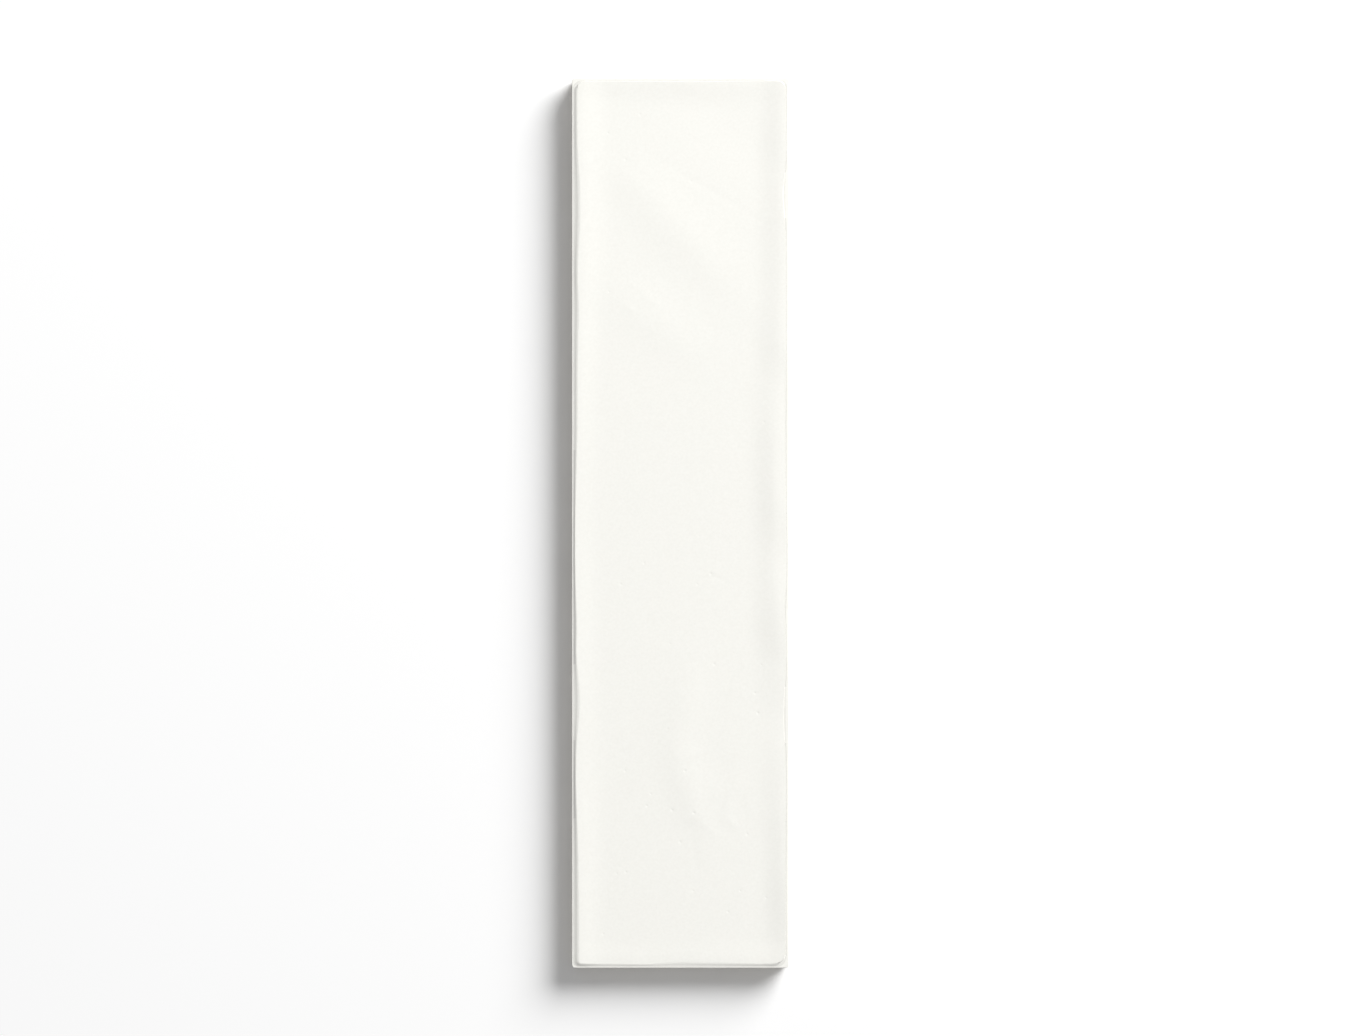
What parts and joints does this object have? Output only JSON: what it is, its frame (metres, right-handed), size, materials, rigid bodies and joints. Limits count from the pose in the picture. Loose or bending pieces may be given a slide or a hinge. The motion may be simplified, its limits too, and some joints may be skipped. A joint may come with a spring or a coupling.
{
  "type": "wall tile",
  "caption": "Long narrow glazed ceramic wall tile with a wavy handmade-look rim, a gently dished and undulating white face, a straight foot and a back keyed with shallow pockets.",
  "frame": {"origin": "centre of the back, on the plane of the back's land and ribs, which the tile rests or is bedded on", "axes": "+Z out of the glazed face, +Y along the tile's length towards the picture's top edge, +X across its width"},
  "size_m": [0.06, 0.246, 0.0086],
  "materials": {
    "glazed_body": "gloss"
  },
  "bodies": {
    "root": {"wall_tile": "glazed_body"}
  },
  "joints": []
}
